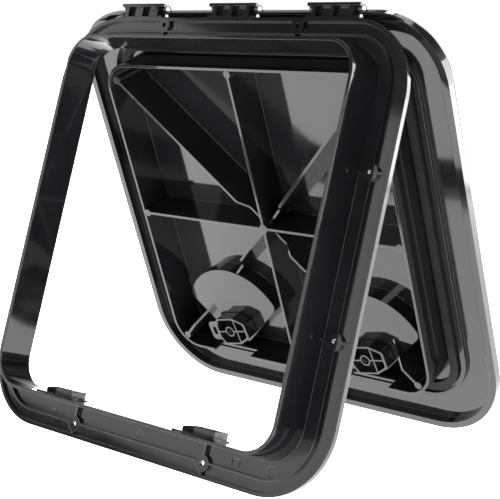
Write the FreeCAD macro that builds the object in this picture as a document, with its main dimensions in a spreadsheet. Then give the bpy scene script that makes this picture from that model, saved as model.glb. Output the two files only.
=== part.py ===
"""Square access hatch for a boat deck: a moulded frame, a ribbed lid on three hinge pins, and two lever latches.

Every piece is drawn as if the hatch were shut and lay on a level deck: X runs along the hinge, Y from
the hinge axis to the free edge, and Z out of the deck. The pieces are then turned about the hinge axis,
so that the open hatch stands on its two free edges like an A-frame. Z points up in that stance, the floor
is at Z = 0 and the frame's under-deck side faces -Y.
"""

import FreeCAD
import Part

import math
import os

import Sketcher
from FreeCAD import Placement, Rotation, Vector

SHEET = "Dims"
DIMENSIONS = {
    # stance
    "opening_angle": 38.75,
    "latch_turned": 79,
    "stance_shift": -9.35,
    # frame moulding
    "frame_width": 485,
    "frame_length": 475.7,
    "frame_start": 12,
    "frame_radius": 79,
    "clear_width": 394,
    "clear_start": 46.5,
    "clear_length": 399.5,
    "clear_radius": 32,
    "flange_under": -5.4,
    "flange_thick": 2.6,
    "deck_level": -8.9,
    "rim_width": 4,
    "web_half": 222.9,
    "web_start": 27,
    "web_end": 472.3,
    "web_radius": 56,
    "web_thick": 2.1,
    "coaming_draft": 4.8,
    "coaming_wall": 3.3,
    "coaming_deep": 37.8,
    "upstand_high": 1.7,
    "fixing_start": 20.5,
    "fixing_end": 472.4,
    "fixing_across": 220.5,
    "fixing_end_pitch": 189,
    "fixing_side_pitch": 164,
    "fixing_radius": 2.6,
    "fixing_sink": 5,
    "fixing_boss": 8.5,
    "rib_thick": 3,
    # hinge
    "tower_pitch": 134.5,
    "tower_half": 25.5,
    "band_half": 33,
    "band_low": 3.7,
    "tower_back": 4.2,
    "tower_front": 16,
    "tower_top": 4.2,
    "core_width": 18.2,
    "core_gap": 4.2,
    "core_deep": 5,
    "pin_radius": 2.5,
    "pin_slack": 0.05,
    "lug_width": 6,
    "lug_radius": 4.8,
    "side_gap": 1,
    # lid moulding
    "lid_width": 510.6,
    "lid_start": 1.3,
    "lid_end": 498.8,
    "lid_hinge_radius": 74,
    "lid_radius": 88,
    "hinge_edge_width": 2.5,
    "lid_top": 7.1,
    "lid_under": 3.1,
    "lid_round": 6,
    "skirt_width": 8,
    "skirt_low": -7.9,
    "hinge_edge_low": -5,
    "tower_clear": 11,
    "ring_width": 384,
    "ring_start": 52,
    "ring_end": 436,
    "ring_radius": 35,
    "ring_wall": 3,
    "ring_low": -39.5,
    "seal_wall_inset": 21,
    "seal_wall_low": -1.8,
    "rib_centre": 246.2,
    "end_boss": 4.5,
    "hub_boss": 5.5,
    "seal_width": 10,
    "seal_gap": 0.3,
    # latches
    "latch_pitch": 205.2,
    "latch_along": 406,
    "scoop_radius": 78,
    "scoop_hub": 25,
    "scoop_corner": 10,
    "scoop_low": -16.9,
    "scoop_wall": 3,
    "notch_width": 59,
    "notch_level": -24,
    "cam_low": -34,
    "tab_low": -30.8,
    "tab_thick": 3.5,
    "tab_reach": 37,
    "tab_width": 26,
    "keeper_low": -26.9,
    "keeper_deep": 7.6,
}

FAULTS = []


class Size:
    """A length read from the sheet: its value now, and the expression that keeps a feature bound to it."""

    def __init__(self, value, text):
        self.value = value
        self.text = text

    def _with(self, other, sign, value):
        text = other.text if isinstance(other, Size) else repr(other)
        return Size(value, f"({self.text} {sign} {text})")

    def __add__(self, other):
        return self._with(other, "+", self.value + number(other))

    def __sub__(self, other):
        return self._with(other, "-", self.value - number(other))

    def __mul__(self, other):
        return self._with(other, "*", self.value * number(other))

    def __truediv__(self, other):
        return self._with(other, "/", self.value / number(other))

    def __neg__(self):
        return Size(-self.value, f"(0 - {self.text})")


def number(size):
    return size.value if isinstance(size, Size) else size


def expression(size):
    return size.text if isinstance(size, Size) else repr(size)


doc = FreeCAD.newDocument("deck_hatch")
sheet = doc.addObject("Spreadsheet::Sheet", SHEET)
for row, (alias, amount) in enumerate(DIMENSIONS.items(), start=1):
    sheet.set(f"A{row}", alias)
    sheet.set(f"B{row}", str(amount))
    sheet.setAlias(f"B{row}", alias)
doc.recompute()


def size(alias):
    return Size(float(sheet.get(alias)), f"{SHEET}.{alias}")


# ---------------------------------------------------------------- helpers


def new_body(label):
    body = doc.addObject("PartDesign::Body", label)
    body.Label = label
    return body


def origin_plane(body, role):
    return next(o for o in body.Origin.OriginFeatures if o.Role == role)


def new_sketch(body, name, level, plane="XY_Plane", turn=0.0):
    """A sketch on one of the body's own planes, moved along its normal by level and turned about its upright."""
    sketch = body.newObject("Sketcher::SketchObject", name)
    sketch.AttachmentSupport = [(origin_plane(body, plane), "")]
    sketch.MapMode = "FlatFace"
    sketch.AttachmentOffset = Placement(Vector(0, 0, number(level)), Rotation(Vector(0, 1, 0), turn))
    sketch.setExpression("AttachmentOffset.Base.z", expression(level))
    return sketch


def bind(sketch, kind, references, amount):
    """Adds one measured constraint and binds it. A negative offset from the origin is measured backwards."""
    if kind in ("DistanceX", "DistanceY") and number(amount) < 0:
        geo, point = references[2:]
        references = (geo, point, -1, 1)
        amount = -amount
    index = sketch.addConstraint(Sketcher.Constraint(kind, *references, number(amount)))
    if isinstance(amount, Size):
        sketch.setExpression(f"Constraints[{index}]", expression(amount))


def place_point(sketch, geo, point, x, y):
    bind(sketch, "DistanceX", (-1, 1, geo, point), x)
    bind(sketch, "DistanceY", (-1, 1, geo, point), y)


def outline(sketch, corners):
    """A closed outline through corners (x, y, radius). A corner with a radius is rounded by a tangent arc."""
    count = len(corners)
    sharp = [Vector(number(x), number(y), 0) for x, y, _ in corners]
    enters, leaves, centres = [], [], []
    for i in range(count):
        radius = number(corners[i][2])
        back = (sharp[i - 1] - sharp[i]).normalize()
        ahead = (sharp[(i + 1) % count] - sharp[i]).normalize()
        half = back.getAngle(ahead) / 2
        run = radius / math.tan(half)
        enters.append(sharp[i] + back * run)
        leaves.append(sharp[i] + ahead * run)
        centres.append(sharp[i] + (back + ahead).normalize() * (radius / math.sin(half)))
    lines = [
        sketch.addGeometry(Part.LineSegment(leaves[i], enters[(i + 1) % count]), False) for i in range(count)
    ]
    for i in range(count):
        x, y, radius = corners[i]
        before, after = lines[i - 1], lines[i]
        if number(radius) == 0:
            sketch.addConstraint(Sketcher.Constraint("Coincident", before, 2, after, 1))
            place_point(sketch, after, 1, x, y)
            continue
        middle = centres[i] + (sharp[i] - centres[i]).normalize() * number(radius)
        arc = sketch.addGeometry(Part.Arc(enters[i], middle, leaves[i]), False)
        starts_first = sketch.getPoint(arc, 1).distanceToPoint(enters[i]) < 1e-6
        first, last = (1, 2) if starts_first else (2, 1)
        sketch.addConstraint(Sketcher.Constraint("Tangent", before, 2, arc, first))
        sketch.addConstraint(Sketcher.Constraint("Tangent", arc, last, after, 1))
        bind(sketch, "Radius", (arc,), radius)
        corner = sketch.addGeometry(Part.Point(sharp[i]), True)
        sketch.addConstraint(Sketcher.Constraint("PointOnObject", corner, 1, before))
        sketch.addConstraint(Sketcher.Constraint("PointOnObject", corner, 1, after))
        place_point(sketch, corner, 1, x, y)


def rounded_rectangle(sketch, half, start, end, radius):
    outline(sketch, [(-half, start, radius), (half, start, radius), (half, end, radius), (-half, end, radius)])


def rectangle(sketch, x0, x1, y0, y1):
    outline(sketch, [(x0, y0, 0), (x1, y0, 0), (x1, y1, 0), (x0, y1, 0)])


def circle(sketch, x, y, radius):
    geo = sketch.addGeometry(Part.Circle(Vector(number(x), number(y), 0), Vector(0, 0, 1), number(radius)), False)
    bind(sketch, "Radius", (geo,), radius)
    place_point(sketch, geo, 3, x, y)


def prism(body, sketch, length, kind="PartDesign::Pad", reverse=False, both=False, taper=0.0):
    """Pads or pockets a sketch by length, and makes sure that the body's volume changed the right way."""
    before = body.Shape.Volume if body.Tip and not body.Shape.isNull() else 0.0
    feature = body.newObject(kind, sketch.Name + "_" + kind[-3:].lower())
    feature.Profile = sketch
    feature.Length = number(length)
    feature.setExpression("Length", expression(length))
    feature.Reversed = reverse
    feature.Midplane = both
    feature.TaperAngle = taper
    doc.recompute()
    grown = body.Shape.Volume - before
    if (grown > 0) != (kind == "PartDesign::Pad") or abs(grown) < 1e-3:
        FAULTS.append(f"{body.Label}: {feature.Name} changed the volume by {grown:.3f}")
    return feature


def pad(body, sketch, length, **options):
    return prism(body, sketch, length, **options)


def pocket(body, sketch, length, **options):
    return prism(body, sketch, length, kind="PartDesign::Pocket", **options)


def round_edges(body, base, radius, wanted):
    """Fillets the edges of a feature's shape that wanted(edge) picks."""
    names = [f"Edge{i}" for i, edge in enumerate(base.Shape.Edges, start=1) if wanted(edge)]
    fillet = body.newObject("PartDesign::Fillet", base.Name + "_round")
    fillet.Base = (base, names)
    fillet.Radius = number(radius)
    fillet.setExpression("Radius", expression(radius))
    doc.recompute()
    return fillet


# ---------------------------------------------------------------- shared measures

frame_half = size("frame_width") / 2
frame_start = size("frame_start")
frame_end = frame_start + size("frame_length")
clear_half = size("clear_width") / 2
clear_start = size("clear_start")
clear_end = clear_start + size("clear_length")
flange_under = size("flange_under")
flange_top = flange_under + size("flange_thick")
deck_level = size("deck_level")
tower_half = size("tower_half")
TOWERS = {"left": -1, "centre": 0, "right": 1}
SIDES = {"left": -1, "right": 1}


def frame_ring(sketch, inset):
    """The frame's outline, moved in by inset on every side."""
    rounded_rectangle(
        sketch, frame_half - inset, frame_start + inset, frame_end - inset, size("frame_radius") - inset
    )


def clear_ring(sketch, offset):
    """The clear opening's outline, moved out by offset on every side."""
    rounded_rectangle(
        sketch, clear_half + offset, clear_start - offset, clear_end + offset, size("clear_radius") + offset
    )


def fixing_places():
    """The eight screw places: two on each side of the frame, with the way to the frame's outer edge."""
    along = clear_start + size("clear_length") / 2
    end_half, side_half = size("fixing_end_pitch") / 2, size("fixing_side_pitch") / 2
    places = []
    for sign in (-1, 1):
        places.append((end_half * sign, size("fixing_start"), 0, -1))
        places.append((end_half * sign, size("fixing_end"), 0, 1))
        places.append((-size("fixing_across"), along + side_half * sign, -1, 0))
        places.append((size("fixing_across"), along + side_half * sign, 1, 0))
    return places


# ---------------------------------------------------------------- frame


def make_frame():
    body = new_body("frame")
    plate = new_sketch(body, "flange_outline", flange_under)
    frame_ring(plate, 0)
    pad(body, plate, size("flange_thick"))

    rim = new_sketch(body, "rim_outline", deck_level)
    frame_ring(rim, 0)
    frame_ring(rim, size("rim_width"))
    pad(body, rim, flange_under - deck_level)
    web = new_sketch(body, "web_outline", deck_level)
    for inset in (0, size("web_thick")):
        rounded_rectangle(
            web,
            size("web_half") - inset,
            size("web_start") + inset,
            size("web_end") - inset,
            size("web_radius") - inset,
        )
    pad(body, web, flange_under - deck_level)

    root = new_sketch(body, "coaming_root", flange_under)
    clear_ring(root, size("coaming_wall") + size("coaming_draft"))
    edge = new_sketch(body, "coaming_edge", flange_under - size("coaming_deep"))
    clear_ring(edge, size("coaming_wall"))
    coaming = body.newObject("PartDesign::AdditiveLoft", "coaming")
    coaming.Profile = root
    coaming.Sections = [edge]
    coaming.Ruled = True
    doc.recompute()

    upstand = new_sketch(body, "upstand_outline", flange_top)
    clear_ring(upstand, size("coaming_wall"))
    pad(body, upstand, size("upstand_high"))

    add_fixing_bosses(body)
    add_towers(body)

    opening = new_sketch(body, "opening_outline", size("upstand_high"))
    clear_ring(opening, 0)
    pocket(body, opening, size("coaming_deep") * 2)
    cut_fixing_holes(body)
    return body


def add_fixing_bosses(body):
    """A round boss at each screw, and a radial rib through it from the coaming to the rim."""
    bosses = new_sketch(body, "boss_outline", deck_level)
    for x, y, _, _ in fixing_places():
        circle(bosses, x, y, size("fixing_boss"))
    pad(body, bosses, flange_under - deck_level)
    ties = new_sketch(body, "tie_outline", deck_level)
    half = size("rib_thick") / 2
    root = size("coaming_wall") + size("coaming_draft") - 1
    for x, y, out_x, out_y in fixing_places():
        if out_x:
            ends = sorted(((clear_half + root) * out_x, (frame_half - 2) * out_x), key=number)
            rectangle(ties, ends[0], ends[1], y - half, y + half)
        elif out_y > 0:
            rectangle(ties, x - half, x + half, clear_end + root, frame_end - 2)
        else:
            rectangle(ties, x - half, x + half, frame_start + 2, clear_start - root)
    pad(body, ties, flange_under - deck_level)


def add_towers(body):
    """Three hinge towers, each with two cored pockets, a notch at either end for the lid's eyes, and the pin's bore."""
    back, front, top = -size("tower_back"), size("tower_front"), size("tower_top")
    for name, step in TOWERS.items():
        section = new_sketch(body, f"tower_{name}", size("tower_pitch") * step - tower_half, "YZ_Plane")
        outline(
            section,
            [
                (back, deck_level, 0),
                (front, deck_level, 0),
                (front, flange_top, 0),
                (front - 8, top, 3),
                (back, top, 4),
            ],
        )
        pad(body, section, tower_half * 2)
    bands = new_sketch(body, "tower_bands", deck_level)
    corners = new_sketch(body, "tower_corners", deck_level)
    band_half = size("band_half")
    for step in TOWERS.values():
        middle = size("tower_pitch") * step
        rectangle(bands, middle - band_half, middle + band_half, back, back + 3.2)
        for side in (-1, 1):
            circle(corners, middle + (band_half - 3.5) * side, frame_start + 0.6, 3.3)
    pad(body, bands, size("band_low"))
    pad(body, corners, flange_under - deck_level)
    bore = new_sketch(body, "tower_bores", 0, "YZ_Plane")
    circle(bore, 0, 0, size("pin_radius") + size("pin_slack"))
    pocket(body, bore, size("tower_pitch") * 4, both=True)

    cores = new_sketch(body, "tower_cores", deck_level)
    gap, wide = size("core_gap") / 2, size("core_width")
    for step in TOWERS.values():
        middle = size("tower_pitch") * step
        for side in (-1, 1):
            ends = sorted((middle + gap * side, middle + (gap + wide) * side), key=number)
            rectangle(cores, ends[0], ends[1], back + 3.2, frame_start - 1.5)
    pocket(body, cores, size("core_deep"), reverse=True)


def cut_fixing_holes(body):
    holes = new_sketch(body, "fixing_holes", flange_top)
    sinks = new_sketch(body, "fixing_sinks", flange_top)
    for x, y, _, _ in fixing_places():
        circle(holes, x, y, size("fixing_radius"))
        circle(sinks, x, y, size("fixing_sink"))
    pocket(body, holes, (flange_top - deck_level) * 2)
    pocket(body, sinks, size("fixing_sink") - size("fixing_radius"), taper=-45)


def make_keeper(side, sign):
    """A striker on the coaming's inner face. The latch tab slides under its ramp and stops at its end wall."""
    body = new_body(f"keeper_{side}")
    middle = size("latch_pitch") / 2 * sign
    face, top, low = clear_end, -10.0, size("keeper_low")
    # the XZ plane's normal is -Y, so a level along it is negative
    section = new_sketch(body, f"keeper_{side}_section", -face, "XZ_Plane")
    outline(
        section,
        [
            (middle - 27, top, 0),
            (middle - 27, low + 4.5, 0),
            (middle - 14, low, 0),
            (middle + 14.5, low, 0),
            (middle + 14.5, low - 5.5, 0),
            (middle + 17.5, low - 5.5, 1),
            (middle + 17.5, top, 0),
        ],
    )
    pad(body, section, size("keeper_deep"))
    plate = new_sketch(body, f"keeper_{side}_plate", -face, "XZ_Plane")
    outline(
        plate,
        [
            (middle - 29.5, top + 1, 1),
            (middle - 29.5, low - 6.5, 1),
            (middle + 20, low - 6.5, 1),
            (middle + 20, top + 1, 1),
        ],
    )
    pad(body, plate, 1.2)
    return body


# ---------------------------------------------------------------- lid

lid_half = size("lid_width") / 2
lid_under = size("lid_under")
lid_top = size("lid_top")
ring_half = size("ring_width") / 2
rib_centre = size("rib_centre")


def lid_ring(sketch, inset, hinge_inset=None):
    """The lid's outline, moved in by inset, or by hinge_inset on the hinge side."""
    start = size("lid_start") + (inset if hinge_inset is None else hinge_inset)
    end, half = size("lid_end") - inset, lid_half - inset
    hinge, free = size("lid_hinge_radius") - inset, size("lid_radius") - inset
    outline(sketch, [(-half, start, hinge), (half, start, hinge), (half, end, free), (-half, end, free)])


def wall_ring(sketch, offset):
    """The inner ring wall's outer face, moved out by offset on every side."""
    rounded_rectangle(
        sketch,
        ring_half + offset,
        size("ring_start") - offset,
        size("ring_end") + offset,
        size("ring_radius") + offset,
    )


def make_lid():
    body = new_body("lid")
    edge_low = size("hinge_edge_low")
    plate = new_sketch(body, "lid_outline", edge_low)
    lid_ring(plate, 0)
    slab = pad(body, plate, lid_top - edge_low)
    level = number(lid_top)
    round_edges(
        body, slab, size("lid_round"), lambda e: e.BoundBox.ZMin > level - 1e-3 and e.BoundBox.ZMax < level + 1e-3
    )
    hollow = new_sketch(body, "lid_hollow", edge_low)
    lid_ring(hollow, size("skirt_width"), size("hinge_edge_width"))
    pocket(body, hollow, lid_under - edge_low, reverse=True)

    skirt = new_sketch(body, "skirt_outline", size("skirt_low"))
    lid_ring(skirt, 0)
    lid_ring(skirt, size("skirt_width"))
    pad(body, skirt, edge_low - size("skirt_low"))
    relief = new_sketch(body, "hinge_relief", edge_low)
    rectangle(relief, -lid_half - 5, lid_half + 5, size("lid_start") - 5, size("skirt_width") + 2)
    pocket(body, relief, edge_low - size("skirt_low") + 1)

    add_ring_walls(body)
    add_ribs(body)
    add_scoops(body)
    add_lugs(body)
    return body


def add_ring_walls(body):
    outer = new_sketch(body, "seal_wall", size("seal_wall_low"))
    wall_ring(outer, size("seal_wall_inset"))
    wall_ring(outer, size("seal_wall_inset") + size("rib_thick"))
    pad(body, outer, lid_under - size("seal_wall_low"))
    inner = new_sketch(body, "ring_wall", size("ring_low"))
    wall_ring(inner, 0)
    wall_ring(inner, -size("ring_wall"))
    pad(body, inner, lid_under - size("ring_low"))
    notches = new_sketch(body, "latch_notches", size("notch_level"))
    for sign in SIDES.values():
        middle = size("latch_pitch") / 2 * sign
        half = size("notch_width") / 2
        rectangle(notches, middle - half, middle + half, size("ring_end") - 8, size("ring_end") + 4)
    pocket(body, notches, size("notch_level") - size("ring_low") + 1)


def add_ribs(body):
    """Ribs from a centre boss: two straight across, and four diagonal ones with lowered, sloping stretches."""
    low, half = size("ring_low"), size("rib_thick") / 2
    straight = new_sketch(body, "straight_ribs", low)
    reach = ring_half - size("ring_wall") / 2
    rectangle(straight, -reach, reach, rib_centre - half, rib_centre + half)
    pad(body, straight, lid_under - low)
    upright = new_sketch(body, "upright_rib", low)
    rectangle(upright, -half, half, size("ring_start") + 1, size("ring_end") - 1)
    pad(body, upright, lid_under - low)

    corner = ring_half - 17.5
    step, floor = low + 9, size("scoop_low") + 1
    hinge_profile = [(0, lid_under, 0), (0, step, 0), (30, step, 0), (44, low, 0)]
    latch_profile = hinge_profile + [(68, low, 0), (100, floor, 0), (190, floor, 0), (222, low, 0)]
    for name, turn, profile in (
        ("hinge_right", -45, hinge_profile),
        ("hinge_left", -135, hinge_profile),
        ("latch_right", 45, latch_profile),
        ("latch_left", 135, latch_profile),
    ):
        rib = new_sketch(body, f"rib_{name}", -rib_centre, "XZ_Plane", turn)
        rib.AttachmentOffset = Placement(
            Vector(0, 0, -number(rib_centre)), Rotation(Vector(0, 1, 0), turn)
        )
        end = corner * math.sqrt(2)
        outline(rib, profile + [(end, low, 0), (end, lid_under, 0)])
        pad(body, rib, size("rib_thick"), both=True)

    bosses = new_sketch(body, "rib_bosses", low)
    circle(bosses, 0, rib_centre, size("hub_boss"))
    for sign in SIDES.values():
        circle(bosses, (ring_half - 7) * sign, rib_centre, size("end_boss"))
        for down in (-1, 1):
            circle(bosses, corner * sign, rib_centre + corner * down, size("end_boss"))
    circle(bosses, 0, size("ring_start") + 7, size("end_boss"))
    circle(bosses, 0, size("ring_end") - 7, size("end_boss"))
    pad(body, bosses, lid_under - low)


def scoop_outline(sketch, x, y, shrink):
    """A fan: a quarter of a disc with rounded corners, narrowing to a circle round the latch's axis."""
    big = number(size("scoop_radius")) - shrink
    small = number(size("scoop_hub")) - shrink
    corner = number(size("scoop_corner")) - shrink
    hub = Vector(number(x), number(y), 0)
    arcs, lines = [], []
    ends = {}
    for sign in (-1, 1):
        out = Vector(sign, 1, 0).normalize()
        along = Vector(sign, -1, 0).normalize()
        run = math.sqrt((big - corner) ** 2 - (small - corner) ** 2)
        middle = hub + out * (small - corner) + along * run
        ends[sign] = {
            "root": hub + out * small,
            "line": middle + out * corner,
            "arc": hub + (middle - hub).normalize() * big,
            "middle": middle,
            "bulge": middle + (out + (middle - hub).normalize()).normalize() * corner,
        }
    for sign in (-1, 1):
        lines.append(sketch.addGeometry(Part.LineSegment(ends[sign]["root"], ends[sign]["line"]), False))
        arcs.append(
            sketch.addGeometry(Part.Arc(ends[sign]["line"], ends[sign]["bulge"], ends[sign]["arc"]), False)
        )
    top = hub + Vector(0, -big, 0)
    root = hub + Vector(0, small, 0)
    fan = sketch.addGeometry(Part.Arc(ends[-1]["arc"], top, ends[1]["arc"]), False)
    heel = sketch.addGeometry(Part.Arc(ends[-1]["root"], root, ends[1]["root"]), False)

    def end_of(geo, place):
        return 1 if sketch.getPoint(geo, 1).distanceToPoint(place) < 1e-6 else 2

    for i, sign in enumerate((-1, 1)):
        mine = ends[sign]
        for first, second, place in (
            (heel, lines[i], mine["root"]),
            (lines[i], arcs[i], mine["line"]),
            (arcs[i], fan, mine["arc"]),
        ):
            sketch.addConstraint(
                Sketcher.Constraint("Tangent", first, end_of(first, place), second, end_of(second, place))
            )
        bind(sketch, "Radius", (arcs[i],), size("scoop_corner") - shrink)
    bind(sketch, "Radius", (fan,), size("scoop_radius") - shrink)
    bind(sketch, "Radius", (heel,), size("scoop_hub") - shrink)
    sketch.addConstraint(Sketcher.Constraint("Coincident", fan, 3, heel, 3))
    place_point(sketch, fan, 3, x, y)
    sketch.addConstraint(Sketcher.Constraint("Angle", lines[1], -math.pi / 4))
    sketch.addConstraint(Sketcher.Constraint("Angle", lines[0], -3 * math.pi / 4))


def add_scoops(body):
    """The two fan-shaped recesses that the levers swing in, each with a bored collar for the latch's bush."""
    y = size("latch_along")
    low, wall = size("scoop_low"), number(size("scoop_wall"))
    shells = new_sketch(body, "scoop_shells", low)
    recesses = new_sketch(body, "scoop_recesses", lid_top)
    collars = new_sketch(body, "scoop_collars", low)
    bores = new_sketch(body, "scoop_bores", low)
    for sign in SIDES.values():
        x = size("latch_pitch") / 2 * sign
        scoop_outline(shells, x, y, 0)
        scoop_outline(recesses, x, y, wall)
        circle(collars, x, y, 12)
        circle(bores, x, y, 8)
    pad(body, shells, lid_under - low)
    pocket(body, recesses, lid_top - low - wall)
    pad(body, collars, wall + 2)
    pocket(body, bores, wall + 4, reverse=True)


def add_lugs(body):
    """Gaps in the lid's hinge edge for the towers, and an eye for the pin on each side of every tower."""
    gaps = new_sketch(body, "tower_gaps", lid_top + 1)
    reach = tower_half + size("side_gap")
    for step in TOWERS.values():
        middle = size("tower_pitch") * step
        rectangle(gaps, middle - reach, middle + reach, size("lid_start") - 5, size("tower_clear"))
    pocket(body, gaps, lid_top - size("skirt_low") + 5)
    for name, step in TOWERS.items():
        for side, sign in SIDES.items():
            inner = size("tower_pitch") * step + reach * sign
            eye = new_sketch(body, f"eye_{name}_{side}", inner, "YZ_Plane")
            circle(eye, 0, 0, size("lug_radius"))
            pad(body, eye, size("lug_width"), reverse=sign < 0)
    for name, step in TOWERS.items():
        bore = new_sketch(body, f"eye_bore_{name}", size("tower_pitch") * step, "YZ_Plane")
        circle(bore, 0, 0, size("pin_radius") + 0.02)
        pocket(body, bore, (reach + size("lug_width")) * 2, both=True)


def make_lid_seal():
    body = new_body("lid_seal")
    rim = new_sketch(body, "seal_outline", flange_top + size("upstand_high") + size("seal_gap"))
    middle, half = size("coaming_wall") / 2, size("seal_width") / 2
    clear_ring(rim, middle + half)
    clear_ring(rim, middle - half)
    pad(body, rim, lid_under - flange_top - size("upstand_high") - size("seal_gap"))
    return body


def make_hinge_pin(name, step):
    body = new_body(f"hinge_pin_{name}")
    reach = tower_half + size("side_gap") + size("lug_width") - 0.2
    section = new_sketch(body, f"pin_{name}_section", size("tower_pitch") * step, "YZ_Plane")
    circle(section, 0, 0, size("pin_radius"))
    pad(body, section, reach * 2, both=True)
    return body


# ---------------------------------------------------------------- latches, drawn round their own axis at X = Y = 0

shaft_radius = 6.0
bush_top = size("scoop_low") + size("scoop_wall") + 2
cam_top = size("scoop_low") - 1.4


def make_handle(side):
    """A lever that lies in the fan-shaped recess, with a shaft that carries the cam. It points along +X."""
    body = new_body(f"handle_{side}")
    low = bush_top + 1.3
    top = lid_top - 1.2
    lever = new_sketch(body, f"lever_{side}_outline", low)
    outline(lever, [(-17, -17, 15), (14, -17, 12), (72, -12.5, 7), (72, 12.5, 7), (14, 17, 12), (-17, 17, 15)])
    blade = pad(body, lever, top - low)
    level = number(top)
    round_edges(body, blade, 2.5, lambda e: e.BoundBox.ZMin > level - 1e-3 and e.BoundBox.ZMax < level + 1e-3)
    grip = new_sketch(body, f"lever_{side}_grip", low)
    outline(grip, [(34, -9.5, 4), (69, -9.5, 4), (69, 9.5, 4), (34, 9.5, 4)])
    pocket(body, grip, 4.5, reverse=True)
    shaft = new_sketch(body, f"shaft_{side}_outline", cam_top)
    circle(shaft, 0, 0, shaft_radius)
    pad(body, shaft, low - cam_top)
    drive = new_sketch(body, f"drive_{side}_outline", cam_top - 5)
    outline(drive, [(-5.5, 0, 0), (0, -5.5, 0), (5.5, 0, 0), (0, 5.5, 0)])
    pad(body, drive, 5)
    thread = new_sketch(body, f"thread_{side}_outline", cam_top - 5)
    circle(thread, 0, 0, 1.8)
    pocket(body, thread, 12, reverse=True)
    groove_body = new_sketch(body, f"seal_groove_{side}", bush_top - 3.0)
    circle(groove_body, 0, 0, shaft_radius + 1)
    circle(groove_body, 0, 0, 4.6)
    pocket(body, groove_body, 1.8, reverse=True)
    return body


def make_handle_seal(side):
    body = new_body(f"handle_seal_{side}")
    ring = new_sketch(body, f"handle_seal_{side}_section", bush_top - 2.9)
    circle(ring, 0, 0, shaft_radius - 0.02)
    circle(ring, 0, 0, 4.65)
    slab = pad(body, ring, 1.6)
    round_edges(body, slab, 0.5, lambda e: e.BoundBox.XLength > 11)
    return body


def make_bush(side):
    """A flanged bush pressed down into the recess's collar. The handle's shaft turns in it."""
    body = new_body(f"latch_bush_{side}")
    sleeve = new_sketch(body, f"bush_{side}_sleeve", size("scoop_low"))
    circle(sleeve, 0, 0, 7.9)
    circle(sleeve, 0, 0, shaft_radius + 0.06)
    pad(body, sleeve, bush_top - size("scoop_low"))
    flange = new_sketch(body, f"bush_{side}_flange", bush_top)
    circle(flange, 0, 0, 11)
    circle(flange, 0, 0, shaft_radius + 0.06)
    pad(body, flange, 1)
    return body


def make_washer(side):
    body = new_body(f"spring_washer_{side}")
    ring = new_sketch(body, f"washer_{side}_outline", cam_top + 0.2)
    circle(ring, 0, 0, 10.5)
    circle(ring, 0, 0, shaft_radius + 0.4)
    pad(body, ring, 1)
    return body


def make_cam(side):
    """The latch's cam: a cored six-sided body with a hub and spokes, and a flat tab with an oval hole."""
    body = new_body(f"cam_{side}")
    low = size("cam_low")
    hull = [(16, -18, 3), (21, -8, 3), (21, 8, 3), (16, 18, 3), (-12, 18, 4), (-29, 10, 4)]
    hull += [(-29, -10, 4), (-12, -18, 4)]
    shell = new_sketch(body, f"cam_{side}_hull", low)
    outline(shell, hull)
    pad(body, shell, cam_top - low)
    core = new_sketch(body, f"cam_{side}_core", low)
    outline(core, [(x * 0.885, y * 0.885, r) for x, y, r in hull])
    pocket(body, core, cam_top - low - 2.2, reverse=True)

    spokes = new_sketch(body, f"cam_{side}_spokes", low)
    outline(spokes, [(-28, -0.9, 0), (20, -0.9, 0), (20, 0.9, 0), (-28, 0.9, 0)])
    pad(body, spokes, cam_top - low - 1)
    web = new_sketch(body, f"cam_{side}_web", low)
    outline(web, [(-12.9, -17, 0), (-11.1, -17, 0), (-11.1, 17, 0), (-12.9, 17, 0)])
    pad(body, web, cam_top - low - 1)
    hub = new_sketch(body, f"cam_{side}_hub", low)
    circle(hub, 0, 0, 7)
    pad(body, hub, cam_top - low - 1)

    reach, half = size("tab_reach"), size("tab_width") / 2
    tab_low = size("tab_low")
    tab = new_sketch(body, f"cam_{side}_tab", tab_low)
    outline(tab, [(19.5, -half, 0), (reach, -half, 6), (reach, half, 6), (19.5, half, 0)])
    pad(body, tab, size("tab_thick"))
    eye = new_sketch(body, f"cam_{side}_eye", tab_low)
    outline(eye, [(26.5, -5.5, 2.6), (32, -5.5, 2.6), (32, 5.5, 2.6), (26.5, 5.5, 2.6)])
    pocket(body, eye, size("tab_thick") + 1, reverse=True)

    socket = new_sketch(body, f"cam_{side}_socket", cam_top)
    rectangle(socket, -4, 4, -4, 4)
    pocket(body, socket, 5.2)
    recess = new_sketch(body, f"cam_{side}_recess", low)
    circle(recess, 0, 0, 5.2)
    pocket(body, recess, 8.4, reverse=True)
    clearance = new_sketch(body, f"cam_{side}_clearance", low)
    circle(clearance, 0, 0, 2.1)
    pocket(body, clearance, 12, reverse=True)
    return body


def make_cam_screw(side):
    """A pan-head screw that holds the cam on the square end of the handle's shaft."""
    body = new_body(f"cam_screw_{side}")
    seat = size("cam_low") + 8.4
    head = new_sketch(body, f"screw_{side}_head", seat)
    circle(head, 0, 0, 4)
    cap = pad(body, head, 2.6, reverse=True)
    level = number(seat) - 2.6
    round_edges(body, cap, 1.2, lambda e: e.BoundBox.ZMax < level + 1e-3)
    shank = new_sketch(body, f"screw_{side}_shank", seat)
    circle(shank, 0, 0, 1.75)
    pad(body, shank, 10)
    slot = new_sketch(body, f"screw_{side}_cross", number(seat) - 2.6)
    cross = [(-2.4, -0.45), (-0.45, -0.45), (-0.45, -2.4), (0.45, -2.4), (0.45, -0.45), (2.4, -0.45)]
    cross += [(2.4, 0.45), (0.45, 0.45), (0.45, 2.4), (-0.45, 2.4), (-0.45, 0.45), (-2.4, 0.45)]
    outline(slot, [(x, y, 0) for x, y in cross])
    pocket(body, slot, 1.4, reverse=True)
    return body


# ---------------------------------------------------------------- stance


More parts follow.
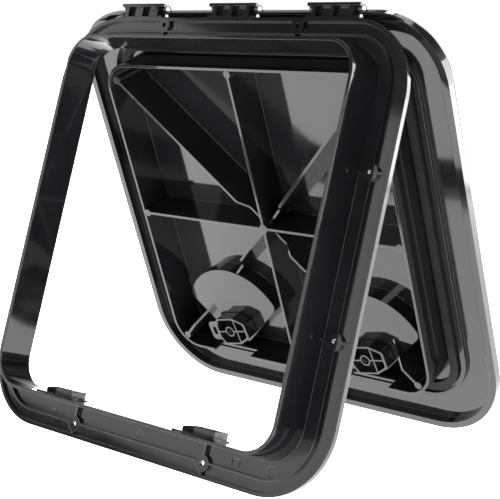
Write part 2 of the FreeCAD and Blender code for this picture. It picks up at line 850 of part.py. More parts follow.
def stance():
    """The frame's and the lid's places: turned about the hinge axis, which is lifted until both stand at Z = 0."""
    open_angle = math.radians(number(size("opening_angle")))

    def frame_reach(lean):
        return number(frame_end) * math.cos(lean) + number(flange_top) * math.sin(lean)

    def lid_reach(lean):
        return number(size("lid_end")) * math.cos(lean) - number(size("skirt_low")) * math.sin(lean)

    low, high = 0.0, open_angle
    for _ in range(60):
        lean = (low + high) / 2
        if frame_reach(lean) > lid_reach(open_angle - lean):
            low = lean
        else:
            high = lean
    height = Vector(0, number(size("stance_shift")), frame_reach(lean))
    frame_turn = -90 - math.degrees(lean)
    lid_turn = frame_turn + math.degrees(open_angle)
    print(f"hinge axis at y {height.y:.3f} z {height.z:.3f}, frame leans {math.degrees(lean):.3f} degrees")
    return (
        Placement(height, Rotation(Vector(1, 0, 0), frame_turn)),
        Placement(height, Rotation(Vector(1, 0, 0), lid_turn)),
    )


def latch_place(lid_place, sign, angle):
    hub = Vector(number(size("latch_pitch")) / 2 * sign, number(size("latch_along")), 0)
    return lid_place.multiply(Placement(hub, Rotation(Vector(0, 0, 1), angle)))


def main():
    os.makedirs("parts", exist_ok=True)
    frame_place, lid_place = stance()
    pieces = [(make_frame(), frame_place), (make_lid(), lid_place), (make_lid_seal(), lid_place)]
    for name, step in TOWERS.items():
        pieces.append((make_hinge_pin(name, step), lid_place))
    turned = number(size("latch_turned"))
    for side, sign in SIDES.items():
        pieces.append((make_keeper(side, sign), frame_place))
        pieces.append((make_bush(side), latch_place(lid_place, sign, 0)))
        lever = latch_place(lid_place, sign, 225 + turned)
        cam = latch_place(lid_place, sign, 90 + turned)
        pieces.append((make_handle(side), lever))
        pieces.append((make_handle_seal(side), lever))
        pieces.append((make_washer(side), cam))
        pieces.append((make_cam(side), cam))
        pieces.append((make_cam_screw(side), cam))
    for body, place in pieces:
        body.Placement = place
    doc.recompute()

    for item in doc.Objects:
        if "Invalid" in item.State or "Error" in item.State:
            FAULTS.append(f"{item.Label}: {item.State}")
    for body, _ in pieces:
        if body.Shape.isNull() or not body.Shape.isValid() or len(body.Shape.Solids) != 1:
            FAULTS.append(f"{body.Label}: bad shape, {len(body.Shape.Solids)} solids")
    if FAULTS:
        raise SystemExit("\n".join(FAULTS))
    for body, _ in pieces:
        body.Shape.exportStep(f"parts/{body.Label}.step")
        box = body.Shape.BoundBox
        print(f"{body.Label:22s} {body.Shape.Volume / 1000:9.2f} cm3  "
              f"x {box.XMin:.1f}..{box.XMax:.1f}  y {box.YMin:.1f}..{box.YMax:.1f}  z {box.ZMin:.1f}..{box.ZMax:.1f}")


main()
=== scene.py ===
import math

import bpy
from mathutils import Matrix, Vector
from mathutils.bvhtree import BVHTree


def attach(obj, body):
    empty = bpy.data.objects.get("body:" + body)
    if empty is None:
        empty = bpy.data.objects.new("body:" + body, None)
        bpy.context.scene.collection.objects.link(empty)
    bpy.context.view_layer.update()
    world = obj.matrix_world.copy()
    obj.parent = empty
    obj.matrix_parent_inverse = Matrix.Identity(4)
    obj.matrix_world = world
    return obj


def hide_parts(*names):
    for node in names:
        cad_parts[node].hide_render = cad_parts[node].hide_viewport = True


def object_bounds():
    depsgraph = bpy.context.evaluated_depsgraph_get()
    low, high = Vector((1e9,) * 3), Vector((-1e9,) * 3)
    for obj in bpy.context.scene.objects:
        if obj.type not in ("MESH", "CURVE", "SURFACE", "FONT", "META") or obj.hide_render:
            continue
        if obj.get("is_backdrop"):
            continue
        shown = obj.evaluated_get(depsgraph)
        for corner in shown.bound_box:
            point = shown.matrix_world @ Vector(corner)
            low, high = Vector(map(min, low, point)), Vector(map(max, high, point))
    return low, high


bl_info = {
    "name": "Deck hatch",
    "version": (1, 0, 0),
    "blender": (4, 5, 0),
    "location": "View3D > Sidebar > Deck hatch",
    "description": "Finishes, keepers, marks, anti-slip field and studio for a hatch",
    "category": "Object",
}

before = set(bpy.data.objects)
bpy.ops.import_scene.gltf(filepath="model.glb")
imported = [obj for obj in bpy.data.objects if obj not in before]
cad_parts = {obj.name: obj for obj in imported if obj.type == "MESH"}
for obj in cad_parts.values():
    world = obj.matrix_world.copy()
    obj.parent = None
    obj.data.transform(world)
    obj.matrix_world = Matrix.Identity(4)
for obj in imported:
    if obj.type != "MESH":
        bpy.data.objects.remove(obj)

MM = 0.001

# Where the hatch stands: the hinge line's place in millimetres, and how far the
# frame leans towards the front and the lid towards the back. They repeat the
# stance that the part was placed with.
HINGE_Y, HINGE_Z = -9.35, 465.861
FRAME_LEAN = math.radians(16.885)
LID_LEAN = math.radians(21.865)

# The two latches stand this far from the middle, in millimetres.
LATCH_HALF_PITCH = 102.6
SIDES = (("left", -LATCH_HALF_PITCH), ("right", LATCH_HALF_PITCH))


def leaf_matrix(lean, forward):
    """The place of a leaf's own axes: x along the hinge, y up the leaf towards
    the hinge, z out of its under side, all measured from the hinge line."""
    up_leaf = Vector((0.0, math.sin(lean) * forward, math.cos(lean)))
    across = Vector((1.0, 0.0, 0.0))
    out = across.cross(up_leaf)
    turn = Matrix((across, up_leaf, out)).transposed().to_4x4()
    return Matrix.Translation((0.0, HINGE_Y * MM, HINGE_Z * MM)) @ turn


# A leaf's point is (x, -v, w): v runs from the hinge line to the free edge, and
# w out of the under side.
FRAME_PLACE = leaf_matrix(FRAME_LEAN, 1.0)
LID_PLACE = leaf_matrix(LID_LEAN, -1.0)


class HatchFinish(bpy.types.PropertyGroup):
    """Colours and gloss of the hatch's plastics and metal"""

    moulding_colour: bpy.props.FloatVectorProperty(
        name="Moulding colour",
        description="Colour of the black frame and lid mouldings",
        subtype="COLOR", size=3, min=0.0, max=1.0,
        default=(0.0065, 0.0065, 0.0072),
    )
    lever_colour: bpy.props.FloatVectorProperty(
        name="Lever colour",
        description="Colour of the levers, cams and keepers",
        subtype="COLOR", size=3, min=0.0, max=1.0,
        default=(0.008, 0.008, 0.0088),
    )
    seal_colour: bpy.props.FloatVectorProperty(
        name="Seal colour",
        description="Colour of the sponge rubber seals",
        subtype="COLOR", size=3, min=0.0, max=1.0,
        default=(0.005, 0.005, 0.005),
    )
    bush_colour: bpy.props.FloatVectorProperty(
        name="Bush colour",
        description="Colour of the lever bushes",
        subtype="COLOR", size=3, min=0.0, max=1.0,
        default=(0.03, 0.03, 0.031),
    )
    steel_colour: bpy.props.FloatVectorProperty(
        name="Steel colour",
        description="Colour of the stainless pins, washers and screws",
        subtype="COLOR", size=3, min=0.0, max=1.0,
        default=(0.56, 0.57, 0.58),
    )
    gloss: bpy.props.FloatProperty(
        name="Moulding roughness",
        description="Roughness of the polished mouldings",
        subtype="FACTOR", min=0.02, max=0.6, default=0.065,
    )
    edge_round: bpy.props.FloatProperty(
        name="Edge round",
        description="Radius of the small rounds on the moulded edges",
        subtype="DISTANCE", unit="LENGTH", min=0.0, max=0.003, default=0.0007,
    )


class HatchDetails(bpy.types.PropertyGroup):
    """Sizes of the small modelled details"""

    mark_radius: bpy.props.FloatProperty(
        name="Ejector mark radius",
        description="Radius of the round ejector marks in the channel floor",
        subtype="DISTANCE", unit="LENGTH", min=0.001, max=0.01, default=0.0046,
    )
    mark_height: bpy.props.FloatProperty(
        name="Ejector mark height",
        description="How far an ejector mark's rim stands off the floor",
        subtype="DISTANCE", unit="LENGTH", min=0.0001, max=0.001, default=0.0002,
    )
    stud_length: bpy.props.FloatProperty(
        name="Stud length",
        description="Length of one anti-slip stud",
        subtype="DISTANCE", unit="LENGTH", min=0.002, max=0.011, default=0.0085,
    )
    stud_width: bpy.props.FloatProperty(
        name="Stud width",
        description="Width of one anti-slip stud at its foot",
        subtype="DISTANCE", unit="LENGTH", min=0.001, max=0.006, default=0.0026,
    )
    stud_height: bpy.props.FloatProperty(
        name="Stud height",
        description="How far a stud stands off the lid",
        subtype="DISTANCE", unit="LENGTH", min=0.0002, max=0.001, default=0.0005,
    )


class HatchStage(bpy.types.PropertyGroup):
    """The floor, lights and camera"""

    floor_size: bpy.props.FloatProperty(
        name="Floor size",
        description="Length of the pale floor's side",
        subtype="DISTANCE", unit="LENGTH", min=2.0, max=200.0, default=80.0,
    )
    room_level: bpy.props.FloatProperty(
        name="Room brightness",
        description="Brightness of the dim part of the room",
        min=0.0, max=2.0, default=0.12,
    )
    back_level: bpy.props.FloatProperty(
        name="Cove brightness",
        description="Brightness of the white cove behind the hatch",
        min=0.0, max=10.0, default=1.1,
    )
    lens: bpy.props.FloatProperty(
        name="Lens",
        description="Camera focal length on a 36 mm wide sensor",
        min=20.0, max=300.0, default=89.74,
    )


# ---------------------------------------------------------------- finishes

# The middle part of a noise that two tones are spread over, and how many rays
# the rounding of an edge takes.
TONE_RANGE = (0.35, 0.65)
EDGE_RAYS = 6
MOULDING_IOR = 1.53
FLOOR_GLOW = 3.2


def fresh_material(name):
    """An empty node material with its shader, output and Object coordinates."""
    material = bpy.data.materials.new(name)
    material.use_nodes = True
    nodes = material.node_tree.nodes
    nodes.clear()
    output = nodes.new("ShaderNodeOutputMaterial")
    shader = nodes.new("ShaderNodeBsdfPrincipled")
    place = nodes.new("ShaderNodeTexCoord")
    material.node_tree.links.new(shader.outputs["BSDF"], output.inputs["Surface"])
    return material, shader, place


def add_noise(material, place, scale, detail, stretch=None):
    """A noise texture on the piece's own coordinates, stretched if asked."""
    nodes, links = material.node_tree.nodes, material.node_tree.links
    noise = nodes.new("ShaderNodeTexNoise")
    noise.inputs["Scale"].default_value = scale
    noise.inputs["Detail"].default_value = detail
    source = place.outputs["Object"]
    if stretch is not None:
        mapping = nodes.new("ShaderNodeMapping")
        mapping.inputs["Scale"].default_value = stretch
        links.new(source, mapping.inputs["Vector"])
        source = mapping.outputs["Vector"]
    links.new(source, noise.inputs["Vector"])
    return noise


def spread(material, source, low, high, start=0.3, end=0.7):
    """Maps a texture's middle range onto low..high."""
    node = material.node_tree.nodes.new("ShaderNodeMapRange")
    node.inputs["From Min"].default_value = start
    node.inputs["From Max"].default_value = end
    node.inputs["To Min"].default_value = low
    node.inputs["To Max"].default_value = high
    material.node_tree.links.new(source, node.inputs["Value"])
    return node.outputs["Result"]


def two_tones(material, source, dark, light):
    """A colour that varies between two close tones."""
    start, end = TONE_RANGE
    ramp = material.node_tree.nodes.new("ShaderNodeValToRGB")
    ramp.color_ramp.elements[0].position = start
    ramp.color_ramp.elements[1].position = end
    ramp.color_ramp.elements[0].color = (*dark, 1.0)
    ramp.color_ramp.elements[1].color = (*light, 1.0)
    material.node_tree.links.new(source, ramp.inputs["Fac"])
    return ramp.outputs["Color"]


def rounded_normal(material, shader, height, strength, distance, edge_round):
    """Feeds the shader a bumped normal whose sharp edges are rounded over."""
    nodes, links = material.node_tree.nodes, material.node_tree.links
    bump = nodes.new("ShaderNodeBump")
    bump.inputs["Strength"].default_value = strength
    bump.inputs["Distance"].default_value = distance
    links.new(height, bump.inputs["Height"])
    if edge_round > 0.0:
        edge = nodes.new("ShaderNodeBevel")
        edge.samples = EDGE_RAYS
        edge.inputs["Radius"].default_value = edge_round
        links.new(edge.outputs["Normal"], bump.inputs["Normal"])
    links.new(bump.outputs["Normal"], shader.inputs["Normal"])


def scaled(colour, factor):
    return tuple(min(1.0, value * factor) for value in colour)


def polished_plastic(name, colour, gloss, edge_round, wave=0.00006):
    """Black injection moulded plastic: mirror gloss with the faint waviness,
    flow marks and finger dulling of a large moulding."""
    material, shader, place = fresh_material(name)
    links = material.node_tree.links
    cloud = add_noise(material, place, 9.0, detail=4.0)
    flow = add_noise(material, place, 26.0, detail=2.0, stretch=(1.0, 1.0, 0.14))
    grain = add_noise(material, place, 900.0, detail=2.0)
    tones = two_tones(
        material, cloud.outputs["Fac"], scaled(colour, 0.8), scaled(colour, 1.35)
    )
    links.new(tones, shader.inputs["Base Color"])
    dull = material.node_tree.nodes.new("ShaderNodeMath")
    dull.operation = "MULTIPLY"
    clouded = spread(material, cloud.outputs["Fac"], gloss * 0.8, gloss * 1.4)
    links.new(clouded, dull.inputs[0])
    links.new(spread(material, flow.outputs["Fac"], 0.85, 1.2), dull.inputs[1])
    links.new(dull.outputs["Value"], shader.inputs["Roughness"])
    height = material.node_tree.nodes.new("ShaderNodeMath")
    height.operation = "MULTIPLY_ADD"
    links.new(grain.outputs["Fac"], height.inputs[0])
    height.inputs[1].default_value = 0.004
    links.new(flow.outputs["Fac"], height.inputs[2])
    rounded_normal(material, shader, height.outputs["Value"], 0.5, wave, edge_round)
    shader.inputs["IOR"].default_value = MOULDING_IOR
    shader.inputs["Specular IOR Level"].default_value = 0.5
    return material


def satin_plastic(name, colour, roughness, edge_round):
    """Fine-grained satin plastic."""
    material, shader, place = fresh_material(name)
    links = material.node_tree.links
    cloud = add_noise(material, place, 60.0, detail=4.0)
    grain = add_noise(material, place, 1800.0, detail=3.0)
    tones = two_tones(
        material, cloud.outputs["Fac"], scaled(colour, 0.8), scaled(colour, 1.25)
    )
    links.new(tones, shader.inputs["Base Color"])
    links.new(
        spread(material, cloud.outputs["Fac"], roughness * 0.85, roughness * 1.15),
        shader.inputs["Roughness"],
    )
    rounded_normal(material, shader, grain.outputs["Fac"], 0.4, 0.00008, edge_round)
    return material


def sponge_rubber(name, colour):
    """Closed-cell sponge: a skin of small cells, dull, with a pale bloom."""
    material, shader, place = fresh_material(name)
    nodes, links = material.node_tree.nodes, material.node_tree.links
    cells = nodes.new("ShaderNodeTexVoronoi")
    cells.inputs["Scale"].default_value = 1400.0
    links.new(place.outputs["Object"], cells.inputs["Vector"])
    bloom = add_noise(material, place, 45.0, detail=5.0)
    links.new(
        two_tones(material, bloom.outputs["Fac"], colour, scaled(colour, 1.9)),
        shader.inputs["Base Color"],
    )
    links.new(
        spread(material, cells.outputs["Distance"], 0.62, 0.85, 0.0, 0.6),
        shader.inputs["Roughness"],
    )
    rounded_normal(material, shader, cells.outputs["Distance"], 0.5, 0.0002, 0.0)
    shader.inputs["Specular IOR Level"].default_value = 0.25
    return material


def brushed_steel(name, colour, edge_round):
    """Turned stainless steel with fine lines along the hinge."""
    material, shader, place = fresh_material(name)
    links = material.node_tree.links
    lines = add_noise(material, place, 500.0, detail=3.0, stretch=(0.05, 1.0, 1.0))
    stain = add_noise(material, place, 80.0, detail=4.0)
    tones = two_tones(
        material, stain.outputs["Fac"], scaled(colour, 0.82), scaled(colour, 1.1)
    )
    links.new(tones, shader.inputs["Base Color"])
    links.new(
        spread(material, lines.outputs["Fac"], 0.2, 0.36), shader.inputs["Roughness"]
    )
    rounded_normal(material, shader, lines.outputs["Fac"], 0.3, 0.00004, edge_round)
    shader.inputs["Metallic"].default_value = 1.0
    return material


def floor_paper(name):
    """Plain white studio paper with a hint of tooth, lit from within so that it
    stays white to its far edge."""
    material, shader, place = fresh_material(name)
    links = material.node_tree.links
    tooth = add_noise(material, place, 60.0, detail=4.0)
    links.new(
        two_tones(material, tooth.outputs["Fac"], (0.86, 0.86, 0.86), (0.9, 0.9, 0.9)),
        shader.inputs["Base Color"],
    )
    shader.inputs["Roughness"].default_value = 1.0
    shader.inputs["Specular IOR Level"].default_value = 0.0
    shader.inputs["Emission Color"].default_value = (1.0, 1.0, 1.0, 1.0)
    shader.inputs["Emission Strength"].default_value = FLOOR_GLOW
    return material


FINISHED = {}


def give(node, material):
    """Puts a finish on every slot of a carried-over node."""
    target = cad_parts[node]
    if not target.data.materials:
        target.data.materials.append(material)
    for index in range(len(target.material_slots)):
        target.material_slots[index].material = material


class HATCH_OT_finishes(bpy.types.Operator):
    """Makes the hatch's finishes and puts them on the carried-over nodes"""

    bl_idname = "hatch.finishes"
    bl_label = "Hatch finishes"

    def execute(self, context):
        finish = context.scene.hatch_finish
        FINISHED["moulding"] = polished_plastic(
            "moulding black gloss", tuple(finish.moulding_colour), finish.gloss,
            finish.edge_round,
        )
        FINISHED["lever"] = polished_plastic(
            "lever black gloss", tuple(finish.lever_colour), finish.gloss * 1.25,
            finish.edge_round * 0.7,
        )
        FINISHED["keeper"] = polished_plastic(
            "keeper black satin", tuple(finish.lever_colour), finish.gloss * 1.8,
            finish.edge_round,
        )
        FINISHED["cam"] = polished_plastic(
            "cam black gloss", tuple(finish.lever_colour), finish.gloss * 1.4,
            finish.edge_round * 0.7,
        )
        FINISHED["seal"] = sponge_rubber(
            "seal sponge rubber", tuple(finish.seal_colour)
        )
        FINISHED["bush"] = satin_plastic(
            "bush satin plastic", tuple(finish.bush_colour), 0.42, 0.0002
        )
        FINISHED["steel"] = brushed_steel(
            "turned stainless steel", tuple(finish.steel_colour), 0.0002
        )
        give("frame", FINISHED["moulding"])
        give("lid", FINISHED["moulding"])
        give("lid_seal", FINISHED["seal"])
        for place in ("left", "centre", "right"):
            give(f"hinge_pin_{place}", FINISHED["steel"])
        for side, _ in SIDES:
            give(f"keeper_{side}", FINISHED["keeper"])
            give(f"handle_{side}", FINISHED["lever"])
            give(f"handle_seal_{side}", FINISHED["seal"])
            give(f"latch_bush_{side}", FINISHED["bush"])
            give(f"spring_washer_{side}", FINISHED["steel"])
            give(f"cam_{side}", FINISHED["cam"])
            give(f"cam_screw_{side}", FINISHED["steel"])
        return {"FINISHED"}


# -------------------------------------------------------- modelled details


def start_clean():
    """Leaves object mode with nothing selected."""
    if bpy.context.mode != "OBJECT":
        bpy.ops.object.mode_set(mode="OBJECT")
    bpy.ops.object.select_all(action="DESELECT")


def select_faces(piece, wanted):
    """Selects, in edit mode, only the faces whose centre and normal are wanted."""
    bpy.ops.mesh.select_mode(type="FACE")
    bpy.ops.mesh.select_all(action="DESELECT")
    bpy.ops.object.mode_set(mode="OBJECT")
    for face in piece.data.polygons:
        face.select = wanted(face.center, face.normal)
    bpy.ops.object.mode_set(mode="EDIT")


def sunken_disc(name, radius, height, rim):
    """A low disc with a raised, rounded rim and a sunken middle, on z = 0."""
    start_clean()
    bpy.ops.mesh.primitive_cylinder_add(
        vertices=48, radius=radius, depth=height, location=(0.0, 0.0, 0.0)
    )
    disc = bpy.context.object
    disc.name = name
    bpy.ops.object.mode_set(mode="EDIT")
    select_faces(disc, lambda centre, normal: normal.z > 0.9)
    bpy.ops.mesh.inset(thickness=rim)
    bpy.ops.transform.translate(value=(0.0, 0.0, -height * 0.45))
    bpy.ops.mesh.inset(thickness=rim * 0.5)
    bpy.ops.transform.translate(value=(0.0, 0.0, -height * 0.2))
    bpy.ops.mesh.select_all(action="SELECT")
    bpy.ops.mesh.normals_make_consistent(inside=False)
    bpy.ops.object.mode_set(mode="OBJECT")
    bpy.ops.object.shade_smooth_by_angle(angle=math.radians(40.0))
    return disc


def vent_block(name, width, length, height):
    """A low rectangular witness mark with a chamfered top, on z = 0."""
    start_clean()
    bpy.ops.mesh.primitive_cube_add(size=1.0, location=(0.0, 0.0, 0.0))
    block = bpy.context.object
    block.name = name
    bpy.ops.object.mode_set(mode="EDIT")
    bpy.ops.mesh.select_all(action="SELECT")
    bpy.ops.transform.resize(value=(width, length, height))
    select_faces(block, lambda centre, normal: normal.z > 0.9)
    bpy.ops.mesh.inset(thickness=width * 0.12)
    bpy.ops.transform.translate(value=(0.0, 0.0, -height * 0.3))
    bpy.ops.object.mode_set(mode="OBJECT")
    return block


def set_down(piece, place, x, v, w):
    """Moves a finished mark to a leaf's (x, v, w) in millimetres, in its mesh."""
    piece.data.transform(place @ Matrix.Translation((x * MM, -v * MM, w * MM)))
    piece.location = (0.0, 0.0, 0.0)


def join_pieces(name, pieces):
    """Joins small pieces into one named piece."""
    start_clean()
    for piece in pieces:
        piece.select_set(True)
    bpy.context.view_layer.objects.active = pieces[0]
    bpy.ops.object.join()
    joined = bpy.context.object
    joined.name = name
    joined.data.name = name
    return joined


# The channel floor's marks as (x, v, radius factor), in millimetres.
ROUND_MARKS = (
    (-133.7, 465.2, 0.55),
    (1.1, 463.1, 1.0),
    (177.5, 461.7, 1.3),
)
VENT_MARK = (134.0, 462.5)
CHANNEL_FLOOR = 5.4


class HATCH_OT_marks(bpy.types.Operator):
    """Models the ejector and vent marks in the frame's channel floor"""

    bl_idname = "hatch.marks"
    bl_label = "Moulding marks"

    def execute(self, context):
        details = context.scene.hatch_details
        radius, height = details.mark_radius, details.mark_height
        marks = []
        for x, v, factor in ROUND_MARKS:
            disc = sunken_disc("mark", radius * factor, height, radius * 0.16)
            set_down(disc, FRAME_PLACE, x, v, CHANNEL_FLOOR)
            marks.append(disc)
        block = vent_block("vent mark", radius * 2.4, radius * 1.9, height)
        set_down(block, FRAME_PLACE, VENT_MARK[0], VENT_MARK[1], CHANNEL_FLOOR)
        marks.append(block)
        piece = join_pieces("moulding_marks", marks)
        piece.data.materials.clear()
        piece.data.materials.append(FINISHED["moulding"])
        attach(piece, "frame")
        return {"FINISHED"}


# The lid's outer face, the anti-slip field on it and its studs, in millimetres.
LID_TOP = -7.1
FIELD_HALF, FIELD_START, FIELD_END, FIELD_CORNER = 214.0, 36.0, 464.0, 52.0
STUD_PITCH, STUD_ROOM = 12.0, 5.5
# A probe for flat ground starts this far, in metres, above the hinge line's level,
# and may miss the top's level by the second value.
PROBE_START, PROBE_SLACK = 0.05, 0.0001


def in_field(x, v):
    """Whether a point lies in the round-cornered anti-slip field."""
    half = (FIELD_END - FIELD_START) / 2
    across = max(0.0, abs(x) - (FIELD_HALF - FIELD_CORNER))
    along = max(0.0, abs(v - FIELD_START - half) - (half - FIELD_CORNER))
    return math.hypot(across, along) <= FIELD_CORNER


def on_flat_top(tree, x, v):
    """Whether a stud at x, v has the lid's flat top under it and round it."""
    for dx, dv in ((0, 0), (1, 0), (-1, 0), (0, 1), (0, -1)):
        start = Vector((x + dx * STUD_ROOM, -(v + dv * STUD_ROOM), 0.0)) * MM
        start.z = -PROBE_START
        hit = tree.ray_cast(LID_PLACE @ start, LID_PLACE.to_3x3() @ Vector((0, 0, 1)))
        if hit[0] is None or abs(hit[3] - (LID_TOP * MM + PROBE_START)) > PROBE_SLACK:
            return False
    return True


class HATCH_OT_antislip(bpy.types.Operator):
    """Models the lid's anti-slip field: one chamfered stud, set out in rows"""

    bl_idname = "hatch.antislip"
    bl_label = "Anti-slip field"

    def execute(self, context):
        details = context.scene.hatch_details
        long, wide, high = details.stud_length, details.stud_width, details.stud_height
        start_clean()
        bpy.ops.mesh.primitive_cube_add(size=1.0, location=(0.0, 0.0, 0.0))
        stud = bpy.context.object
        bpy.ops.object.mode_set(mode="EDIT")
        bpy.ops.mesh.select_all(action="SELECT")
        bpy.ops.transform.resize(value=(long, wide, high * 2.0))
        select_faces(stud, lambda centre, normal: normal.z < -0.9)
        bpy.ops.transform.resize(value=(0.72, 0.5, 1.0))
        bpy.ops.object.mode_set(mode="OBJECT")
        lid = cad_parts["lid"].data
        tree = BVHTree.FromPolygons(
            [vertex.co for vertex in lid.vertices],
            [tuple(face.vertices) for face in lid.polygons],
        )
        rows = int((FIELD_END - FIELD_START) / STUD_PITCH) + 1
        columns = int(FIELD_HALF / STUD_PITCH)
        studs = []
        for row in range(rows):
            for column in range(-columns, columns + 1):
                x, v = column * STUD_PITCH, FIELD_START + row * STUD_PITCH
                if not (in_field(x, v) and on_flat_top(tree, x, v)):
                    continue
                copy = bpy.data.objects.new("stud", stud.data.copy())
                context.scene.collection.objects.link(copy)
                slant = math.radians(45.0 if (row + column) % 2 else -45.0)
                copy.data.transform(Matrix.Rotation(slant, 4, "Z"))
                set_down(copy, LID_PLACE, x, v, LID_TOP)
                studs.append(copy)
        bpy.data.objects.remove(stud)
        if not studs:
            raise RuntimeError("no stud found a flat place on the lid")
        field = join_pieces("antislip_field", studs)
        field.data.materials.clear()
        field.data.materials.append(FINISHED["moulding"])
        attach(field, "lid")
        return {"FINISHED"}


# A keeper's block, end wall and foot plate: how far they reach to the left and
# right of the latch's middle, their levels w, and how deep they stand out of the
# coaming's face, all in millimetres.
COAMING_FACE = 446.0
BLOCK_LEFT, BLOCK_RIGHT = -32.0, 18.5
BLOCK_TOP, BLOCK_LOW, BLOCK_DEEP = 10.0, 26.9, 9.0
PLATE_LEFT, PLATE_RIGHT = -36.0, 21.0
PLATE_TOP, PLATE_LOW, PLATE_DEEP = 9.0, 33.0, 1.2
PLATE_BEDDED = 0.2
END_WALL, END_LOW, END_LAP = 3.0, 32.0, 2.0
END_SET_BACK, END_INSET = 0.3, 0.1
# The lead: its length, and how far its outer end is set back and raised.
LEAD_LONG, LEAD_BACK, LEAD_UP = 20.0, 3.4, 4.5
# A vertex this near a face, in millimetres, is on it.
NEAR = 1.0


def keeper_box(low, high):
    """A box between two (x, v, w) corners in millimetres, on the frame's axes."""
    start_clean()
    bpy.ops.mesh.primitive_cube_add(size=1.0, location=(0.0, 0.0, 0.0))
    box = bpy.context.object
    centre = [(a + b) / 2 * MM for a, b in zip(low, high)]
    box.data.transform(
        Matrix.Translation((centre[0], -centre[1], centre[2]))
        @ Matrix.Diagonal([abs(b - a) * MM for a, b in zip(low, high)] + [1.0])
    )
    return box


def bevel_box(box, width, segments=3):
    """Rounds all of a box's edges."""
    bpy.ops.object.mode_set(mode="EDIT")
    bpy.ops.mesh.select_all(action="SELECT")
    bpy.ops.mesh.bevel(offset=width, segments=segments, affect="EDGES")
    bpy.ops.object.mode_set(mode="OBJECT")
    bpy.ops.object.shade_smooth_by_angle(angle=math.radians(50.0))


def keeper_block(middle):
    """The keeper's block, whose left third slopes back as a lead for the tab."""
    face = COAMING_FACE
    block = keeper_box(
        (middle + BLOCK_LEFT, face - BLOCK_DEEP, BLOCK_TOP),
        (middle + BLOCK_RIGHT, face, BLOCK_LOW),
    )
    bend = (middle + BLOCK_LEFT + LEAD_LONG) * MM
    bpy.ops.object.mode_set(mode="EDIT")
    bpy.ops.mesh.select_all(action="SELECT")
    bpy.ops.mesh.bisect(plane_co=(bend, 0.0, 0.0), plane_no=(1.0, 0.0, 0.0))
    bpy.ops.object.mode_set(mode="OBJECT")
    left = (middle + BLOCK_LEFT) * MM
    for vertex in block.data.vertices:
        if vertex.co.x < left + NEAR * MM:
            if vertex.co.y > -(face - NEAR) * MM:
                vertex.co.y -= LEAD_BACK * MM
            if vertex.co.z > (BLOCK_LOW - NEAR) * MM:
                vertex.co.z -= LEAD_UP * MM
    bevel_box(block, 0.0007)
    return block


class HATCH_OT_keepers(bpy.types.Operator):
    """Models the two keepers: a ramped block and end wall on a foot plate"""

    bl_idname = "hatch.keepers"
    bl_label = "Keepers"

    def execute(self, context):
        face = COAMING_FACE
        for side, middle in SIDES:
            block = keeper_block(middle)
            wall = keeper_box(
                (
                    middle + BLOCK_RIGHT - END_WALL,
                    face - BLOCK_DEEP + END_SET_BACK,
                    BLOCK_LOW - END_LAP,
                ),
                (middle + BLOCK_RIGHT - END_INSET, face, END_LOW),
            )
            bevel_box(wall, 0.0004, 2)
            plate = keeper_box(
                (middle + PLATE_LEFT, face - PLATE_DEEP, PLATE_TOP),
                (middle + PLATE_RIGHT, face + PLATE_BEDDED, PLATE_LOW),
            )
            bevel_box(plate, 0.0003, 2)
            keeper = join_pieces(f"ramped_keeper_{side}", [block, wall, plate])
            keeper.data.transform(FRAME_PLACE)
            keeper.data.materials.clear()
            keeper.data.materials.append(FINISHED["keeper"])
            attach(keeper, "frame")
            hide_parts(f"keeper_{side}")
        return {"FINISHED"}


# ------------------------------------------------------------------- stage


def studio_room(back_level, dim_level):
    """A white room for the camera; what the gloss reflects is a bright cove
    behind the hatch that fades upwards and towards the front."""
    world = bpy.data.worlds.new("studio room")
    bpy.context.scene.world = world
    world.use_nodes = True
    nodes, links = world.node_tree.nodes, world.node_tree.links
    nodes.clear()
    output = nodes.new("ShaderNodeOutputWorld")
    place = nodes.new("ShaderNodeTexCoord")
    split = nodes.new("ShaderNodeSeparateXYZ")
    links.new(place.outputs["Generated"], split.inputs["Vector"])

    def fade(source, start, end, low, high):
        node = nodes.new("ShaderNodeMapRange")
        node.interpolation_type = "SMOOTHSTEP"
        node.inputs["From Min"].default_value = start
        node.inputs["From Max"].default_value = end
        node.inputs["To Min"].default_value = low
        node.inputs["To Max"].default_value = high
        links.new(source, node.inputs["Value"])
        return node.outputs["Result"]

    behind = fade(split.outputs["Y"], -0.1, 0.55, 0.0, 1.0)
    low_down = fade(split.outputs["Z"], 0.25, 0.75, 1.0, 0.0)
    both = nodes.new("ShaderNodeMath")
    both.operation = "MULTIPLY"
    links.new(behind, both.inputs[0])
    links.new(low_down, both.inputs[1])
    level = fade(both.outputs["Value"], 0.0, 1.0, dim_level, back_level)
    room = nodes.new("ShaderNodeBackground")
    links.new(level, room.inputs["Strength"])
    room.inputs["Color"].default_value = (1.0, 1.0, 1.0, 1.0)
    paper = nodes.new("ShaderNodeBackground")
    paper.inputs["Color"].default_value = (1.0, 1.0, 1.0, 1.0)
    path = nodes.new("ShaderNodeLightPath")
    mix = nodes.new("ShaderNodeMixShader")
    links.new(path.outputs["Is Camera Ray"], mix.inputs["Fac"])
    links.new(room.outputs["Background"], mix.inputs[1])
    links.new(paper.outputs["Background"], mix.inputs[2])
    links.new(mix.outputs["Shader"], output.inputs["Surface"])


def soft_box(name, place, aim, width, height, level):
    """A rectangular soft box whose face has the given brightness."""
    lamp = bpy.data.lights.new(name, "AREA")
    lamp.shape = "RECTANGLE"
    lamp.size = width
    lamp.size_y = height
    lamp.energy = level * math.pi * width * height
    box = bpy.data.objects.new(name, lamp)
    bpy.context.scene.collection.objects.link(box)
    box.location = place
    box.rotation_mode = "QUATERNION"
    box.rotation_quaternion = (Vector(aim) - Vector(place)).to_track_quat("-Z", "Y")


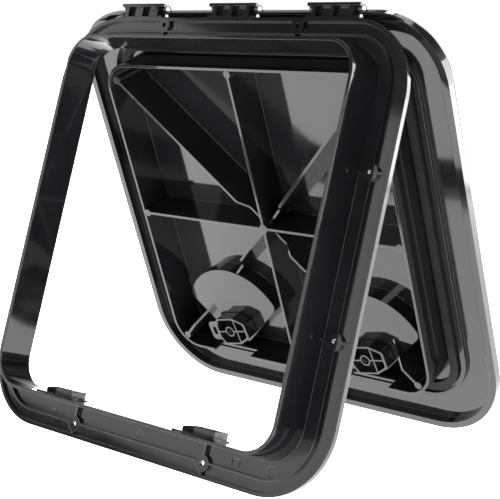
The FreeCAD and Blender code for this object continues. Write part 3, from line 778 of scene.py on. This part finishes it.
# The hatch's middle, and each soft box: name, place, what it faces, width, height
# and the brightness of its face.
MIDDLE = (0.0, 0.0, 0.22)
SOFT_BOXES = (
    ("front left soft box", (-1.75, -1.95, 0.95), MIDDLE, 1.7, 1.3, 1.6),
    ("front strip", (-0.05, -2.7, 0.75), MIDDLE, 0.45, 1.5, 16.0),
    ("rim light", (1.85, 2.0, 0.72), (0.25, 0.1, 0.25), 1.7, 1.4, 8.0),
    ("back top soft box", (-0.25, 1.6, 2.0), MIDDLE, 1.3, 0.9, 7.0),
    ("overhead soft box", (0.1, 0.2, 2.4), MIDDLE, 1.8, 1.8, 3.0),
)
# The floor lies this far under the hatch's lowest point.
FLOOR_GAP = 0.0004
CAMERA_PLACE = (0.8929, -1.0392, 0.4184)
CAMERA_AHEAD = (-0.63578, 0.75626, -0.15447)
CAMERA_UP = (-0.11917, 0.10154, 0.98767)


class HATCH_OT_studio(bpy.types.Operator):
    """Makes the floor, the soft boxes, the room and the camera"""

    bl_idname = "hatch.studio"
    bl_label = "Studio"

    def execute(self, context):
        stage = context.scene.hatch_stage
        view = context.scene.view_settings
        view.view_transform = "Standard"
        view.look = "None"
        view.exposure = 0.0
        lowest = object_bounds()[0].z
        bpy.ops.object.select_all(action="DESELECT")
        bpy.ops.mesh.primitive_plane_add(
            size=stage.floor_size, location=(0.0, 0.0, lowest - FLOOR_GAP)
        )
        floor = context.object
        floor.name = "studio_floor"
        floor.data.materials.append(floor_paper("studio paper"))
        floor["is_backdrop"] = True
        studio_room(stage.back_level, stage.room_level)
        for box in SOFT_BOXES:
            soft_box(*box)
        camera_data = bpy.data.cameras.new("hatch camera")
        camera = bpy.data.objects.new("hatch camera", camera_data)
        context.scene.collection.objects.link(camera)
        camera_data.sensor_width = 36.0
        camera_data.lens = stage.lens
        camera_data.clip_start = 0.05
        camera_data.clip_end = 200.0
        ahead = Vector(CAMERA_AHEAD).normalized()
        upward = Vector(CAMERA_UP)
        right = ahead.cross(upward).normalized()
        upward = right.cross(ahead)
        turn = Matrix((right, upward, -ahead)).transposed().to_4x4()
        camera.matrix_world = Matrix.Translation(CAMERA_PLACE) @ turn
        context.scene.camera = camera
        return {"FINISHED"}


class HATCH_PT_panel(bpy.types.Panel):
    """Lists the hatch's operators in the sidebar"""

    bl_idname = "HATCH_PT_panel"
    bl_label = "Deck hatch"
    bl_space_type = "VIEW_3D"
    bl_region_type = "UI"
    bl_category = "Deck hatch"

    def draw(self, context):
        for settings in ("hatch_finish", "hatch_details", "hatch_stage"):
            group = getattr(context.scene, settings)
            box = self.layout.box()
            for field in group.bl_rna.properties:
                if field.identifier not in ("rna_type", "name"):
                    box.prop(group, field.identifier)
        for operator in OPERATORS:
            self.layout.operator(operator.bl_idname)


GROUPS = (
    ("hatch_finish", HatchFinish),
    ("hatch_details", HatchDetails),
    ("hatch_stage", HatchStage),
)
OPERATORS = (
    HATCH_OT_finishes,
    HATCH_OT_keepers,
    HATCH_OT_marks,
    HATCH_OT_antislip,
    HATCH_OT_studio,
)


def register():
    for name, group in GROUPS:
        bpy.utils.register_class(group)
        setattr(bpy.types.Scene, name, bpy.props.PointerProperty(type=group))
    for operator in OPERATORS:
        bpy.utils.register_class(operator)
    bpy.utils.register_class(HATCH_PT_panel)


def unregister():
    bpy.utils.unregister_class(HATCH_PT_panel)
    for operator in reversed(OPERATORS):
        bpy.utils.unregister_class(operator)
    for name, group in reversed(GROUPS):
        delattr(bpy.types.Scene, name)
        bpy.utils.unregister_class(group)


def main():
    register()
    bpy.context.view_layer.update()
    bpy.ops.hatch.finishes()
    bpy.ops.hatch.keepers()
    bpy.ops.hatch.marks()
    bpy.ops.hatch.antislip()
    bpy.ops.hatch.studio()


if __name__ == "__main__":
    main()
